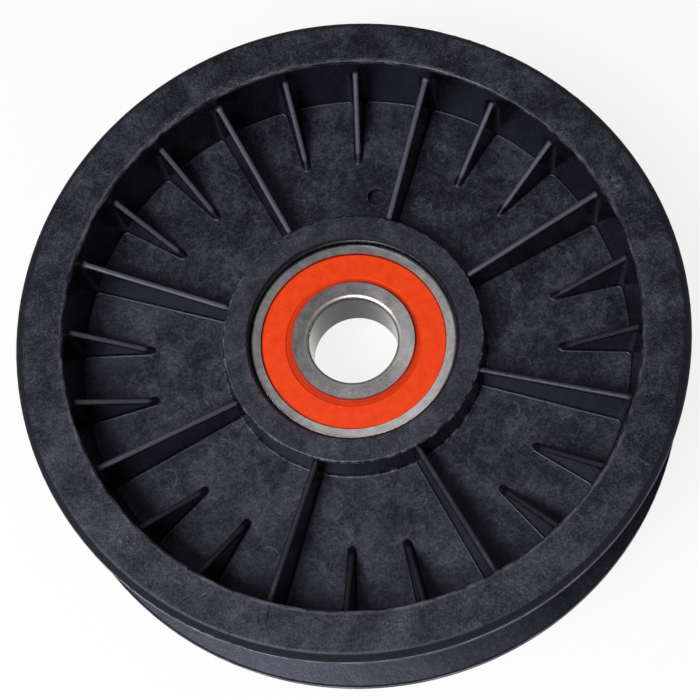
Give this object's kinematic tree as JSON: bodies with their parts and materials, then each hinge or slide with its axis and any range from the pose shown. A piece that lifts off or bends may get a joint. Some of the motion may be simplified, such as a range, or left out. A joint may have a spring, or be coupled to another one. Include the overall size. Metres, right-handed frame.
{
  "type": "flanged idler pulley",
  "caption": "Flanged flat idler pulley for a belt tensioner: ribbed black moulded wheel with a wide flat belt tread, turning on a sealed deep groove ball bearing.",
  "frame": {"origin": "on the spin axis, in the middle plane of the wheel and the bearing", "axes": "+Z along the spin axis, out of the front face; a long rib of the wheel lies along +X"},
  "size_m": [0.127, 0.127, 0.0318],
  "materials": {
    "wheel_nylon": "moulded glass-filled nylon, mottled and lightly scuffed",
    "ring_steel": "ground",
    "seal_rubber": "smooth satin",
    "cage_steel": "pressed sheet",
    "ball_steel": "polished"
  },
  "bodies": {
    "inner_race": {"inner_ring": "ring_steel"},
    "wheel": {"pulley_wheel": "wheel_nylon", "outer_ring": "ring_steel", "front_seal": "seal_rubber", "rear_seal": "seal_rubber"},
    "cage": {"cage_front_half": "cage_steel", "cage_rear_half": "cage_steel", "cage_rivet_1": "cage_steel", "cage_rivet_2": "cage_steel", "cage_rivet_3": "cage_steel", "cage_rivet_4": "cage_steel", "cage_rivet_5": "cage_steel", "cage_rivet_6": "cage_steel", "cage_rivet_7": "cage_steel", "cage_rivet_8": "cage_steel"},
    "ball_1": {"ball_1": "ball_steel"},
    "ball_2": {"ball_2": "ball_steel"},
    "ball_3": {"ball_3": "ball_steel"},
    "ball_4": {"ball_4": "ball_steel"},
    "ball_5": {"ball_5": "ball_steel"},
    "ball_6": {"ball_6": "ball_steel"},
    "ball_7": {"ball_7": "ball_steel"},
    "ball_8": {"ball_8": "ball_steel"}
  },
  "joints": [
    {"name": "wheel_spin", "type": "hinge", "parent": "inner_race", "child": "wheel", "pos_m": [0, 0, 0], "axis": [0, 0, 1], "continuous": true},
    {"name": "cage_spin", "type": "hinge", "parent": "inner_race", "child": "cage", "pos_m": [0, 0, 0], "axis": [0, 0, 1], "continuous": true},
    {"name": "ball_1_spin", "type": "hinge", "parent": "cage", "child": "ball_1", "pos_m": [0.01425, 0, 0], "axis": [0, 0, 1], "continuous": true},
    {"name": "ball_2_spin", "type": "hinge", "parent": "cage", "child": "ball_2", "pos_m": [0.01008, 0.01008, 0], "axis": [0, 0, 1], "continuous": true},
    {"name": "ball_3_spin", "type": "hinge", "parent": "cage", "child": "ball_3", "pos_m": [0, 0.01425, 0], "axis": [0, 0, 1], "continuous": true},
    {"name": "ball_4_spin", "type": "hinge", "parent": "cage", "child": "ball_4", "pos_m": [-0.01008, 0.01008, 0], "axis": [0, 0, 1], "continuous": true},
    {"name": "ball_5_spin", "type": "hinge", "parent": "cage", "child": "ball_5", "pos_m": [-0.01425, 0, 0], "axis": [0, 0, 1], "continuous": true},
    {"name": "ball_6_spin", "type": "hinge", "parent": "cage", "child": "ball_6", "pos_m": [-0.01008, -0.01008, 0], "axis": [0, 0, 1], "continuous": true},
    {"name": "ball_7_spin", "type": "hinge", "parent": "cage", "child": "ball_7", "pos_m": [0, -0.01425, 0], "axis": [0, 0, 1], "continuous": true},
    {"name": "ball_8_spin", "type": "hinge", "parent": "cage", "child": "ball_8", "pos_m": [0.01008, -0.01008, 0], "axis": [0, 0, 1], "continuous": true}
  ],
  "couplings": [
    {"joint": "cage_spin", "follows": "wheel_spin", "ratio": 0.61837},
    {"joint": "ball_1_spin", "follows": "wheel_spin", "ratio": 1.9937},
    {"joint": "ball_2_spin", "follows": "wheel_spin", "ratio": 1.9937},
    {"joint": "ball_3_spin", "follows": "wheel_spin", "ratio": 1.9937},
    {"joint": "ball_4_spin", "follows": "wheel_spin", "ratio": 1.9937},
    {"joint": "ball_5_spin", "follows": "wheel_spin", "ratio": 1.9937},
    {"joint": "ball_6_spin", "follows": "wheel_spin", "ratio": 1.9937},
    {"joint": "ball_7_spin", "follows": "wheel_spin", "ratio": 1.9937},
    {"joint": "ball_8_spin", "follows": "wheel_spin", "ratio": 1.9937}
  ]
}
